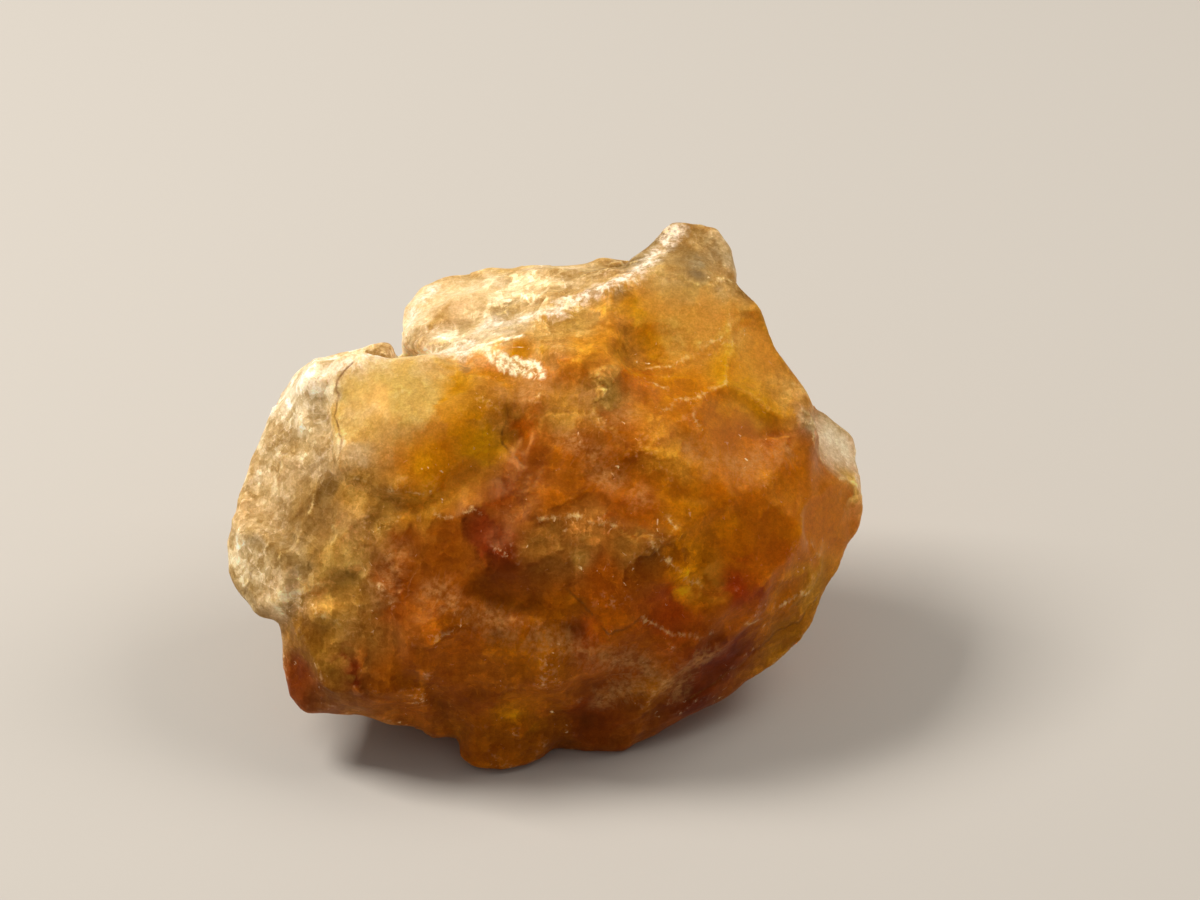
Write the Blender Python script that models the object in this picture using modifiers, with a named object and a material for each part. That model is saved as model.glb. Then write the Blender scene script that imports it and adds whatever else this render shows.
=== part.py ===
"""Rough danburite crystal: one broken, amber-coloured piece, lying on its widest break.

The stone is laid out in millimetres on the side it shows when it is looked down on at SHOW_TILT:
each corner is (across, up, out), from left to right, from low to high, and from the back to the front.
Convex lumps between such corners are joined, hollows are scooped out where flakes came off, and the
skin is then broken into small bowl-shaped breaks. The origin is at the base, under the middle of the box.
"""

import math

import bmesh
import bpy
from mathutils import Euler, Matrix, Vector, noise

MM = 0.001
SHOW_TILT = math.radians(35)
BASE_UP = -11.4  # the height of the flat break it lies on, in the layout's own vertical
SKIN_GRAIN = 0.30  # the size of the skin's small squares before it is thinned to flat faces
SKIN_FACES = 9000
SOFTENING = 5  # how many times the steps between lumps are evened out

# The bowl-shaped breaks: how wide they are, how deep, and how rounded.
BREAKS = (
    (4.4, 0.70, 1.5),
    (2.0, 0.22, 1.3),
)

# Where the three directions of the waver start in the noise.
WAVER_STARTS = (
    (0.0, 0.0, 0.0),
    (19.1, 7.3, 3.7),
    (5.2, 23.9, 11.4),
)

# Where the skin stayed smooth: the middle of each patch, how far it reaches, and how much relief is left.
CALM = (
    ((-7.2, 4.2, 7.0), 5.2, 0.35),
    ((16.8, 0.8, 1.5), 4.4, 0.35),
    ((8.2, 9.2, 3.0), 4.2, 0.5),
)

# The corners of each lump: (across, up, out) in millimetres.
LUMPS = {
    "core": [
        (2.6, 7.4, 5.4), (7.0, 1.5, 7.2), (0.0, 3.0, 6.8),
        (1.0, -2.0, 8.6), (6.0, -3.5, 8.2), (9.5, -6.0, 6.6), (-5.0, -5.5, 8.2), (-1.0, -10.0, 6.5),
        (6.0, -9.0, 5.5), (-8.0, -9.0, 7.0), (14.8, -2.6, 3.8), (14.9, 1.6, 3.2),
        (-12.8, -1.0, 5.4), (-12.5, -6.0, 5.4), (-11.0, -10.5, 4.6), (-11.5, 5.5, 3.2), (-6.0, 7.6, 3.4),
        (-1.0, 7.8, 4.0), (5.8, 12.2, 0.8),
        (11.5, 11.6, 0.2), (12.5, 9.6, 0.8), (14.8, 5.8, 1.2), (17.0, -3.8, 0.0), (15.3, -7.4, 0.0),
        (10.5, -11.4, 0.5),
        (6.2, -13.5, 0.8), (1.5, -14.4, 1.2), (-5.0, -13.2, 2.6), (-10.3, -12.4, 2.6),
        (9.5, 8.5, -7.0), (0.0, 9.0, -9.0), (-8.0, 6.0, -8.0), (12.5, 3.0, -8.0), (12.5, -3.0, -8.0),
        (5.0, -5.0, -11.0), (-5.0, -4.0, -10.0), (-10.0, -1.0, -7.0), (-12.0, -7.0, -2.5),
        (-6.5, -13.1, -2.5), (5.5, -13.1, -2.5), (8.5, -9.4, -7.8), (3.0, -6.6, -11.9), (-5.0, -7.4, -10.7),
        (-8.5, -10.6, -6.2),
    ],
    "left_flank": [
        (-15.1, 5.6, 0.5), (-14.3, 6.6, 0.0), (-11.8, 7.9, 0.0), (-8.6, 8.7, 1.0), (-15.7, 2.8, 1.5),
        (-16.9, 0.8, 1.5), (-17.1, -1.2, 1.8),
        (-12.8, 6.3, 3.4), (-13.6, -1.0, 5.4), (-13.3, -5.5, 5.5), (-10.2, -3.4, 7.1), (-9.0, 4.0, 5.0),
        (-13.0, 5.0, -6.0), (-15.0, -2.0, -4.0), (-8.0, 5.0, -8.0), (-10.0, -4.0, -6.0),
    ],
    "left_lobe": [
        (-17.1, -1.2, 2.0), (-17.8, -2.7, 2.2), (-17.8, -4.3, 2.5), (-17.2, -5.4, 2.7), (-16.3, -6.2, 3.0),
        (-15.0, -6.8, 3.5), (-14.5, -3.0, 5.8), (-14.2, -6.2, 5.2), (-15.5, -2.0, 4.8),
        (-14.0, -2.0, -3.0), (-15.0, -5.0, -1.0), (-10.0, -3.0, 0.0),
    ],
    "lower_left": [
        (-14.8, -5.8, 3.6), (-15.0, -9.2, 3.2), (-14.2, -11.1, 3.2), (-13.4, -11.7, 3.2), (-10.3, -12.3, 2.9),
        (-8.3, -12.9, 2.8), (-5.5, -13.4, 2.6), (-12.5, -6.0, 6.6), (-11.5, -10.0, 6.0), (-7.0, -11.0, 6.0),
        (-12.0, -7.0, -3.0), (-9.0, -9.0, -3.0), (-5.0, -11.0, -3.0), (-6.0, -6.0, 5.0),
    ],
    "shoulder": [
        (-11.4, 7.5, 3.4), (-12.1, 6.2, 4.3), (-12.0, 4.2, 5.2), (-11.3, 1.6, 6.2), (-9.5, 7.7, 3.9),
        (-6.0, 7.8, 4.2), (-2.4, 6.2, 5.6), (-1.9, 4.8, 6.1), (-3.8, 2.0, 6.9), (-6.5, 0.0, 7.3),
        (-9.0, 0.7, 6.9), (-8.2, 4.2, 7.1), (-5.2, 4.2, 7.3),
        (-10.0, 5.0, 0.0), (-4.0, 5.0, 0.0), (-8.0, 0.0, 0.0),
    ],
    "back_block": [
        (-8.4, 8.5, -1.0), (-8.2, 9.8, -3.0), (-7.9, 10.8, -3.8), (-7.2, 11.7, -4.2), (-6.0, 12.5, -4.6),
        (-4.5, 12.75, -4.8), (-1.5, 12.95, -5.0), (2.8, 12.95, -4.6), (6.2, 13.4, -3.6),
        (-7.5, 8.6, 1.0), (-3.5, 8.6, 2.5), (0.0, 9.5, 2.5), (3.0, 11.0, 1.5), (5.5, 12.4, 0.0),
        (-7.0, 6.0, -8.0), (0.0, 8.0, -9.5), (6.0, 9.0, -8.5), (0.0, 4.0, 0.0),
    ],
    "peak": [
        (6.8, 15.2, -2.2), (7.67, 15.6, -2.5), (8.6, 15.3, -2.6), (9.8, 15.2, -2.6), (10.5, 14.3, -2.3),
        (10.9, 12.5, -1.8), (4.6, 13.4, -2.0), (5.0, 11.4, 1.6), (7.0, 12.8, 0.6), (9.0, 11.9, 1.0),
        (11.0, 11.4, 0.4), (7.0, 12.5, -6.0), (10.0, 12.0, -5.5), (8.5, 8.0, -6.0), (8.5, 8.0, 0.0),
    ],
    "right_horn": [
        (14.4, 5.4, -2.5), (15.7, 4.6, -3.2), (16.7, 3.8, -3.2), (17.6, 2.4, -2.5), (18.0, 1.1, -1.5),
        (18.2, -0.4, -0.8), (17.9, -1.9, -0.5), (17.1, -3.6, -0.3), (13.6, 3.4, 1.0), (15.8, 0.6, 2.2),
        (16.0, -2.0, 2.5), (13.0, 4.0, -7.0), (15.0, 0.0, -6.5), (13.0, -4.0, -6.0), (10.0, 0.0, 0.0),
    ],
    "foot": [
        (-4.9, -13.5, 1.8), (-4.6, -14.6, 2.4), (-3.9, -15.4, 2.6), (-2.5, -15.8, 2.8), (-1.0, -15.5, 2.5),
        (0.2, -14.8, 1.6), (-3.8, -12.8, 3.8), (-1.0, -12.8, 3.8), (0.5, -13.0, 3.0),
        (-3.0, -12.0, -4.0), (0.0, -12.0, -4.0), (-1.5, -10.0, 3.0),
    ],
}

# Where flakes came off: the middle, the half-widths and the turn of each hollow, across, up and out.
HOLLOWS = {
    "crest_notch": ((-1.2, 8.2, 6.2), (2.4, 1.2, 2.6), (0, 0, -30)),
    "beside_shoulder": ((-1.2, 3.8, 8.9), (1.5, 2.4, 3.1), (0, 0, -25)),
    "shoulder_edge": ((-4.2, -0.2, 9.8), (4.0, 1.2, 2.6), (0, 0, 46)),
    "below_shoulder": ((-8.0, -4.0, 10.0), (4.4, 1.8, 3.0), (0, 0, 10)),
    "above_ledge": ((4.6, 1.4, 9.9), (4.4, 2.2, 3.1), (0, 0, -20)),
    "red_pocket": ((9.4, -4.9, 8.6), (3.8, 1.7, 2.7), (0, 0, 22)),
    "under_ledge": ((-1.2, -6.2, 10.6), (5.0, 2.2, 3.6), (0, 0, -16)),
    "small_pocket": ((2.2, -7.6, 8.6), (1.8, 1.5, 2.2), (0, 0, -40)),
    "low_front": ((-6.5, -10.4, 8.4), (3.4, 1.5, 2.0), (0, 0, -8)),
    "low_bowl": ((2.2, -12.8, 4.9), (2.6, 1.6, 2.4), (0, 0, -10)),
    "below_ridge": ((10.6, -9.8, 5.2), (5.4, 1.5, 2.9), (0, 0, 34)),
    "left_notch": ((-17.5, -8.7, 4.0), (2.1, 1.4, 3.0), (0, 0, 0)),
    "horn_hollow": ((16.9, 3.2, 1.6), (1.7, 2.8, 2.6), (0, 0, 30)),
    "under_peak": ((8.0, 9.6, 5.5), (4.8, 3.3, 3.3), (0, 0, 20)),
    "valley": ((-3.4, 10.4, 1.8), (5.6, 1.1, 1.9), (0, 0, 18)),
    "back_hollow": ((-3.0, 4.0, -11.0), (5.0, 3.5, 3.0), (0, 0, 20)),
}


def clear_scene():
    for thing in list(bpy.data.objects):
        bpy.data.objects.remove(thing, do_unlink=True)


def place(across, up, out):
    """A point of the layout in the stone's own frame, in metres, with Z up."""
    sine, cosine = math.sin(SHOW_TILT), math.cos(SHOW_TILT)
    return MM * Vector((across, up * sine - out * cosine, up * cosine + out * sine - BASE_UP))


def new_object(name, shape, collection):
    mesh = bpy.data.meshes.new(name)
    shape.to_mesh(mesh)
    shape.free()
    thing = bpy.data.objects.new(name, mesh)
    collection.objects.link(thing)
    return thing


def as_helper(thing):
    thing.hide_render = True
    thing.display_type = "WIRE"
    return thing


def new_lump(name, corners, collection):
    """The convex solid between the corners."""
    shape = bmesh.new()
    for corner in corners:
        shape.verts.new(place(*corner))
    hull = bmesh.ops.convex_hull(shape, input=shape.verts)
    inside = {v for v in hull["geom_interior"] + hull["geom_unused"] if isinstance(v, bmesh.types.BMVert)}
    bmesh.ops.delete(shape, geom=list(inside), context="VERTS")
    bmesh.ops.recalc_face_normals(shape, faces=shape.faces)
    return as_helper(new_object(name, shape, collection))


def new_hollow(name, middle, half_widths, turn, collection):
    """The egg-shaped cutter of a hollow."""
    shape = bmesh.new()
    bmesh.ops.create_icosphere(shape, subdivisions=3, radius=1.0)
    turned = Euler([math.radians(angle) for angle in turn]).to_matrix()
    for vertex in shape.verts:
        reach = Vector(vertex.co[axis] * half_widths[axis] for axis in range(3))
        vertex.co = place(*(Vector(middle) + turned @ reach))
    bmesh.ops.recalc_face_normals(shape, faces=shape.faces)
    return as_helper(new_object(name, shape, collection))


def new_ground(collection):
    """The block below the flat break the stone lies on."""
    shape = bmesh.new()
    bmesh.ops.create_cube(shape, size=1.0)
    for vertex in shape.verts:
        vertex.co = Vector((vertex.co.x * 60, vertex.co.y * 60, vertex.co.z * 10 - 5)) * MM
    return as_helper(new_object("ground", shape, collection))


def bake(thing):
    """Turns the object's modifiers into its mesh."""
    graph = bpy.context.evaluated_depsgraph_get()
    thing.data = bpy.data.meshes.new_from_object(thing.evaluated_get(graph))
    thing.modifiers.clear()


def combine(body, others, operation):
    for other in others:
        step = body.modifiers.new(other.name, "BOOLEAN")
        step.operation = operation
        step.solver = "EXACT"
        step.object = other
    bake(body)


def waver(spot):
    """A smooth sideways shift, so that the rims of the breaks don't run straight."""
    return Vector(noise.noise(spot * 0.8 + Vector(start)) for start in WAVER_STARTS)


def break_height(spot, bowl):
    """The height of the skin at a spot measured in cells: each cell is a tilted bowl with sharp rims."""
    spot = spot + 0.45 * waver(spot)
    middles = noise.voronoi(spot)[1][:3]
    heights = []
    for middle in middles:
        away = spot - middle
        tilt = noise.cell_vector(middle + Vector((7.3, 1.7, 3.1))) - Vector((0.5, 0.5, 0.5))
        heights.append(bowl * away.length_squared + 1.3 * tilt.dot(away) + 0.35 * tilt.x)
    return min(heights)


def roughness(point):
    """How much of the relief a point of the skin keeps, from 1 on broken skin to less on smooth patches."""
    kept = 1.0
    for middle, reach, least in CALM:
        share = min(1.0, (point - place(*middle)).length / (MM * reach))
        kept = min(kept, least + (1 - least) * share ** 3)
    return kept


def break_skin(mesh):
    """Moves the skin in and out along its own slopes."""
    moves = []
    for vertex in mesh.vertices:
        spot = vertex.co.copy()
        height = sum(depth * break_height(spot / (MM * width), bowl) for width, depth, bowl in BREAKS)
        moves.append(vertex.normal * MM * (height * roughness(spot) - 0.15))
    for vertex, move in zip(mesh.vertices, moves):
        vertex.co += move


def stone_material():
    material = bpy.data.materials.new("amber danburite")
    material.use_nodes = True
    surface = material.node_tree.nodes["Principled BSDF"]
    surface.inputs["Base Color"].default_value = (0.50, 0.17, 0.02, 1)
    surface.inputs["Roughness"].default_value = 0.3
    surface.inputs["IOR"].default_value = 1.633
    surface.inputs["Transmission Weight"].default_value = 0.4
    return material


def main():
    clear_scene()
    helpers = bpy.data.collections.new("helpers")
    stone = bpy.data.collections.new("danburite_crystal")
    for collection in (helpers, stone):
        bpy.context.scene.collection.children.link(collection)

    lumps = [new_lump(name, corners, helpers) for name, corners in LUMPS.items()]
    hollows = [new_hollow(name, *sizes, helpers) for name, sizes in HOLLOWS.items()]
    ground = new_ground(helpers)

    body = bpy.data.objects.new("danburite_crystal", lumps[0].data.copy())
    stone.objects.link(body)
    combine(body, lumps[1:], "UNION")
    combine(body, hollows, "DIFFERENCE")

    skin = body.modifiers.new("skin", "REMESH")
    skin.mode = "VOXEL"
    skin.voxel_size = MM * SKIN_GRAIN
    soften = body.modifiers.new("soften", "SMOOTH")
    soften.iterations = SOFTENING
    bake(body)
    break_skin(body.data)
    thin = body.modifiers.new("thin", "DECIMATE")
    thin.ratio = SKIN_FACES / (2 * len(body.data.polygons))
    bake(body)
    combine(body, [ground], "DIFFERENCE")

    corners = [vertex.co for vertex in body.data.vertices]
    middle = [(min(c[axis] for c in corners) + max(c[axis] for c in corners)) / 2 for axis in (0, 1)]
    body.data.transform(Matrix.Translation((-middle[0], -middle[1], 0)))
    body.data.materials.clear()
    body.data.materials.append(stone_material())


main()
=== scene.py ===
"""Dresses the danburite crystal: a rough amber stone, see-through under a broken, partly frosted skin."""

import math

import bmesh
import bpy
import numpy
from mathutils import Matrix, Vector
from mathutils.bvhtree import BVHTree


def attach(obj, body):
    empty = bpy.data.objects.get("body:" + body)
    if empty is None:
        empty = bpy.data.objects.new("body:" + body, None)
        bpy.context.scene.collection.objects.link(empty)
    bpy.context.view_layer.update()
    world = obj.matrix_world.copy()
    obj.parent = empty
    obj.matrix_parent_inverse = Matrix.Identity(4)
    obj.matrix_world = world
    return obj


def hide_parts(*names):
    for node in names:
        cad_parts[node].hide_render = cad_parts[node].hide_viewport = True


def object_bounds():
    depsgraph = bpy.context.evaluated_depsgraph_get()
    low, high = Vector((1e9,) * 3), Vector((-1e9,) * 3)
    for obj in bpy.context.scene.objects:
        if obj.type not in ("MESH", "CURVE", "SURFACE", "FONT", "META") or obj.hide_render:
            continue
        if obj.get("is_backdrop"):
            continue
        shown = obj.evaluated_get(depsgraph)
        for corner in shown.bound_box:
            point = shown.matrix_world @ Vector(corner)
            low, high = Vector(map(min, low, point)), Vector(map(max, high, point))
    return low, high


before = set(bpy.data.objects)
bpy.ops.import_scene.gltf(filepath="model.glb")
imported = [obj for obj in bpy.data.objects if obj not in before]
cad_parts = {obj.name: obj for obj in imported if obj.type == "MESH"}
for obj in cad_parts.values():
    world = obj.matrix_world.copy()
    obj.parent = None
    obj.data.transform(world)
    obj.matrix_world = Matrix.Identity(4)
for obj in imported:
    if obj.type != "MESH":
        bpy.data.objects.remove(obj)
cad_low, cad_high = (tuple(corner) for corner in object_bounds())

MM = 0.001
SKIN_GRAIN = 0.195  # mm between the points of the fine skin
SKIN_SOFTENING = 6  # how many times the thinned facets of the solid are evened out
SEED = 4.0
RIDGE_SPREAD = 8  # steps along the skin over which a ridge stands out
FLAT_FOOT = (0.1, 1.0)  # mm above the ground: no relief below the first, all of it above the second
CALM_BORDER = (0.45, 1.1)  # where a smooth place ends, as shares of its reach

# The breaks in the skin, in mm: how far apart their middles lie, how deep they are, how rounded.
BREAKS = {
    "large breaks": (3.6, 0.30, 1.2),
    "small breaks": (1.7, 0.10, 1.1),
}
BREAK_SLANT = 1.3  # how steeply the breaks tilt
BREAK_WAVER = (0.9, 0.4)  # how often the rims waver over one break, and how far, in breaks
BREAK_PAINTED_SHADE_RUN = 1.6  # how much the tone changes across a break with its tilt: painted shading
BREAK_LEVEL = 0.2  # the height taken off the breaks, so that the stone keeps its size

# The chips, too small for the skin's own points: how far apart, how deep, how sharp the slant, in mm.
CHIPS = {
    "chips": (0.85, 0.050, 1.0),
    "splinters": (0.36, 0.016, 1.0),
}

# Flat faces along which pieces broke off, in mm: the middle, the reach, and how deep the break cuts in.
FACES = {
    "smooth break": ((8.1, 3.7, 21.1), 3.0, 0.10),
    "right of the break": ((11.2, 2.0, 19.2), 1.9, 0.08),
    "under the break": ((7.9, -0.2, 18.7), 1.7, 0.05),
    "right side": ((10.6, -3.0, 16.9), 2.2, 0.10),
    "horn": ((16.4, 1.8, 12.9), 1.8, 0.12),
    "tip": ((16.0, -3.1, 11.3), 2.4, 0.12),
    "below the tip": ((12.2, -6.4, 13.0), 1.8, 0.10),
    "shelf": ((6.4, -9.0, 13.2), 1.6, 0.08),
    "deep front": ((-6.0, -9.0, 13.0), 2.4, 0.14),
    "pale patches": ((-10.4, -8.0, 12.9), 1.5, 0.10),
    "flank": ((-14.5, -3.6, 14.6), 2.2, 0.15),
    "lobe": ((-16.0, -6.6, 10.6), 1.6, 0.12),
    "lower left": ((-10.6, -11.0, 7.8), 2.2, 0.18),
    "lower front": ((-3.4, -11.5, 7.6), 2.2, 0.15),
    "lower right": ((12.0, -7.2, 5.6), 2.2, 0.12),
    "crest": ((-3.2, 2.6, 20.4), 2.0, 0.10),
    "back, left": ((-9.0, 9.5, 13.0), 3.6, 0.30),
    "back, middle": ((0.5, 12.5, 13.0), 3.8, 0.30),
    "back, right": ((9.5, 9.0, 12.0), 3.8, 0.30),
}

# Where the skin stayed smooth, in mm: the middle, the reach, and the share of the relief that is left.
CALM = {
    "window": ((-8.2, -2.7, 19.3), 4.4, 0.16),
    "window, low": ((-5.4, -5.2, 17.2), 3.0, 0.20),
    "tip": ((15.8, -3.3, 11.5), 4.2, 0.12),
    "smooth break": ((8.0, 3.7, 21.1), 3.8, 0.14),
    "right of the break": ((11.2, 2.0, 19.2), 2.6, 0.20),
    "right side": ((10.6, -3.0, 16.9), 2.8, 0.30),
    "back block": ((-6.0, 7.2, 19.4), 3.6, 0.30),
    "horn": ((16.4, 1.8, 12.9), 2.4, 0.30),
}

# The stone's tones, as sRGB hex. The zones also use them for painted light and shade.
TONES = {
    "chalk": "FAE8C8",
    "cream": "F2D6A6",
    "pale straw": "E6CEA2",
    "straw": "EEC268",
    "khaki": "E0C468",
    "sand": "C6AA78",
    "grey sand": "A08A62",
    "straw yellow": "F4D074",
    "straw gold": "E6B254",
    "smoky straw": "BE9858",
    "tan": "D08E3C",
    "light honey": "F4B84C",
    "honey": "F2AA2C",
    "gold": "EA9806",
    "yellow gold": "F2AE08",
    "amber": "C88816",
    "orange gold": "DE8404",
    "orange": "D07004",
    "red orange": "C05004",
    "deep amber": "D07C06",
    "umber": "BA6804",
    "milky brown": "A26A22",
    "dusty amber": "B47E26",
    "red brown": "AE3E04",
    "brown": "984204",
    "rust": "AE5C04",
    "rust brown": "A85404",
    "deep brown": "7C2804",
}

# How far each kind of break lets light through, and how rough it is.
FINISHES = {
    "clear": (0.42, 0.38),
    "cloudy": (0.26, 0.44),
    "frosted": (0.06, 0.50),
}

# The stone's look from place to place: the middle, the reach in mm, the tone and the kind of break. They
# blend into each other. A middle of two numbers is a pixel of the view, and one of three is a place in mm.
# The tones hold painted light and shade besides the stone's own colours: low on the stone they are deeper
# brown, partly as painted shade, and a few shaded spots are painted paler as painted light.
ZONES = {
    "peak, left slope": ((655, 243), 0.6, "grey sand", "frosted"),
    "peak": ((690, 240), 0.7, "smoky straw", "cloudy"),
    "peak, right": ((720, 252), 0.6, "sand", "cloudy"),
    "foot of the peak": ((690, 270), 0.6, "grey sand", "cloudy"),
    "shoulder": ((733, 292), 0.4, "smoky straw", "frosted"),
    "back block, left": ((420, 302), 1.2, "cream", "frosted"),
    "back block": ((470, 300), 1.1, "cream", "frosted"),
    "back block, right": ((545, 284), 1.0, "cream", "frosted"),
    "crest, far right": ((600, 274), 0.7, "sand", "frosted"),
    "saddle": ((640, 266), 0.6, "grey sand", "frosted"),
    "hackles": ((515, 309), 0.7, "pale straw", "frosted"),
    "hollow in the block": ((450, 322), 0.7, "smoky straw", "frosted"),
    "fan": ((500, 331), 0.8, "pale straw", "cloudy"),
    "wedge under the fan": ((522, 347), 0.4, "yellow gold", "clear"),
    "crest, left": ((440, 346), 0.7, "chalk", "frosted"),
    "slope of the crest": ((560, 322), 0.8, "straw", "cloudy"),
    "slope of the crest, right": ((605, 300), 0.6, "smoky straw", "cloudy"),
    "band above the window": ((375, 351), 0.8, "cream", "frosted"),
    "window": ((402, 388), 1.0, "straw yellow", "clear"),
    "window, left": ((356, 388), 0.6, "khaki", "clear"),
    "foot of the window": ((352, 430), 0.7, "straw", "cloudy"),
    "smear": ((346, 456), 0.4, "cream", "cloudy"),
    "right of the window": ((447, 388), 0.7, "yellow gold", "clear"),
    "window, low": ((428, 456), 1.0, "gold", "clear"),
    "window, low right": ((478, 440), 0.7, "yellow gold", "clear"),
    "green gold": ((480, 402), 0.6, "amber", "clear"),
    "under the flash": ((490, 376), 0.5, "gold", "clear"),
    "cavity": ((524, 427), 0.6, "orange", "clear"),
    "under the cavity": ((520, 470), 0.8, "rust", "clear"),
    "middle": ((566, 440), 0.7, "umber", "cloudy"),
    "veil, left": ((560, 398), 0.6, "light honey", "cloudy"),
    "veil": ((602, 399), 0.5, "straw", "frosted"),
    "flecked amber": ((592, 348), 0.8, "honey", "cloudy"),
    "dark gold hollow": ((566, 368), 0.6, "deep amber", "clear"),
    "amber streak": ((625, 312), 0.6, "yellow gold", "clear"),
    "orange, upper": ((645, 346), 0.7, "gold", "clear"),
    "amber, upper": ((640, 385), 0.7, "orange gold", "clear"),
    "orange heart": ((620, 450), 0.6, "umber", "clear"),
    "orange, middle": ((575, 490), 0.8, "umber", "cloudy"),
    "orange, low": ((625, 505), 0.8, "orange", "clear"),
    "milky marks": ((672, 462), 0.6, "honey", "cloudy"),
    "green gold, right": ((688, 502), 0.8, "gold", "clear"),
    "smooth break": ((690, 320), 1.1, "light honey", "clear"),
    "under the peak": ((690, 291), 0.7, "straw yellow", "clear"),
    "right of the break": ((762, 352), 0.8, "honey", "clear"),
    "facet": ((735, 368), 0.6, "yellow gold", "clear"),
    "under the break": ((690, 388), 0.8, "gold", "clear"),
    "right shoulder": ((760, 402), 0.7, "yellow gold", "clear"),
    "right rim": ((782, 388), 0.5, "straw gold", "cloudy"),
    "right side": ((700, 422), 0.8, "deep amber", "clear"),
    "right side, deep": ((732, 432), 0.6, "umber", "clear"),
    "right marks": ((768, 440), 0.5, "orange", "cloudy"),
    "right edge": ((790, 478), 0.7, "orange gold", "clear"),
    "horn": ((835, 440), 0.8, "chalk", "frosted"),
    "horn, low": ((847, 482), 0.4, "straw", "frosted"),
    "tip": ((832, 525), 1.0, "orange gold", "clear"),
    "left of the tip": ((788, 530), 0.7, "orange gold", "clear"),
    "amber, right": ((738, 500), 0.8, "orange gold", "clear"),
    "deep right": ((735, 545), 0.7, "orange gold", "clear"),
    "below the tip": ((778, 562), 0.6, "orange", "clear"),
    "red pocket": ((742, 587), 0.6, "red brown", "clear"),
    "milky shelf": ((690, 570), 0.7, "gold", "frosted"),
    "milky ledge, right": ((642, 542), 0.7, "milky brown", "cloudy"),
    "milky ledge": ((592, 532), 0.6, "tan", "frosted"),
    "brown front": ((612, 577), 0.8, "rust brown", "cloudy"),
    "deep middle": ((672, 607), 0.7, "red orange", "clear"),
    "brown, low": ((600, 622), 0.7, "orange", "cloudy"),
    "rust, low": ((576, 645), 0.5, "red orange", "clear"),
    "milky patch, low": ((560, 612), 0.6, "umber", "cloudy"),
    "deep, low right": ((735, 615), 0.6, "orange", "clear"),
    "band, right": ((772, 604), 0.7, "orange gold", "cloudy"),
    "band, far right": ((815, 586), 0.7, "amber", "cloudy"),
    # Deep brown low on the right is partly painted shade.
    "lower right": ((720, 655), 0.9, "deep brown", "cloudy"),
    "lower rim, right": ((782, 638), 0.6, "amber", "cloudy"),
    "lower middle": ((640, 665), 0.8, "rust brown", "cloudy"),
    "bowl": ((585, 713), 0.7, "brown", "cloudy"),
    "foot": ((510, 737), 1.0, "umber", "cloudy"),
    "flank, top": ((302, 396), 1.3, "chalk", "frosted"),
    "flank": ((295, 442), 0.8, "cream", "frosted"),
    "flank, rim": ((256, 490), 0.7, "cream", "frosted"),
    "hollow in the flank": ((302, 506), 0.9, "smoky straw", "cloudy"),
    "flank, low": ((328, 522), 0.7, "smoky straw", "cloudy"),
    "lobe": ((250, 555), 1.0, "pale straw", "frosted"),
    "lobe, right": ((290, 568), 0.7, "sand", "frosted"),
    "blush under the lobe": ((290, 598), 0.5, "cream", "frosted"),
    "tan front": ((332, 565), 0.8, "straw", "cloudy"),
    "tan front, low": ((332, 590), 0.5, "straw gold", "cloudy"),
    "pale patch": ((376, 536), 0.4, "straw gold", "frosted"),
    "brown spot": ((350, 493), 0.5, "straw gold", "cloudy"),
    "under the window": ((420, 500), 0.9, "honey", "cloudy"),
    "pinkish brown": ((382, 507), 0.5, "straw gold", "cloudy"),
    "deep front": ((440, 555), 0.9, "rust", "cloudy"),
    "deep front, right": ((501, 544), 0.9, "deep brown", "cloudy"),
    "milky, front": ((546, 545), 0.6, "milky brown", "cloudy"),
    "lower left, high": ((395, 590), 0.8, "rust brown", "cloudy"),
    "pale tan, left": ((338, 614), 0.6, "straw gold", "frosted"),
    "lower left": ((312, 650), 0.8, "dusty amber", "cloudy"),
    "olive patch": ((370, 636), 0.6, "milky brown", "cloudy"),
    "lower front, high": ((452, 608), 0.8, "rust", "cloudy"),
    "lower front, rust": ((510, 608), 0.7, "rust", "clear"),
    "lower front, left": ((410, 682), 1.0, "rust", "cloudy"),
    "lower front": ((462, 652), 0.8, "orange", "cloudy"),
    "lower front, right": ((530, 655), 0.7, "orange gold", "cloudy"),
    "lower front, edge": ((480, 700), 0.8, "rust brown", "cloudy"),
    "under the cavity, left": ((494, 494), 0.6, "brown", "cloudy"),
    "lower left edge": ((299, 684), 0.6, "brown", "cloudy"),
    "lower left, deep": ((349, 674), 0.4, "deep brown", "cloudy"),
    "crest, far left": ((414, 351), 0.7, "chalk", "frosted"),
    "under the pale patch": ((402, 538), 0.4, "rust brown", "clear"),
    # The edge of the cavity lies in shade. Its light honey is painted light.
    "edge of the cavity": ((503, 423), 0.4, "light honey", "cloudy"),
    "under the milky ledge": ((586, 558), 0.4, "straw gold", "cloudy"),
    # The foot of the horn lies in shade. Its chalk is painted light.
    "foot of the horn": ((806, 431), 0.4, "chalk", "frosted"),
    "above the red pocket": ((716, 575), 0.4, "honey", "clear"),
    "milky streak, low": ((644, 684), 0.4, "gold", "cloudy"),
    "foot, high": ((516, 714), 0.4, "gold", "cloudy"),
    # Deep brown along the lower edge is partly painted shade.
    "lower edge, right": ((692, 700), 0.5, "deep brown", "cloudy"),
    "nub behind the window": ((385, 348), 0.4, "chalk", "frosted"),
    "back, high": ((0.0, 11.0, 15.0), 2.0, "straw", "cloudy"),
    "back, left": ((-10.0, 8.0, 10.0), 2.0, "straw", "cloudy"),
    "back, low": ((0.0, 9.0, 6.0), 2.0, "orange gold", "cloudy"),
    "back, right": ((10.0, 7.0, 12.0), 2.0, "orange gold", "cloudy"),
    "underside": ((0.0, 0.0, 0.0), 2.0, "rust brown", "cloudy"),
}
ZONE_SHARPNESS = 4.0  # how quickly one zone gives way to the next
ZONE_CORE = 0.2  # the share of a zone's reach over which it is even
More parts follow.
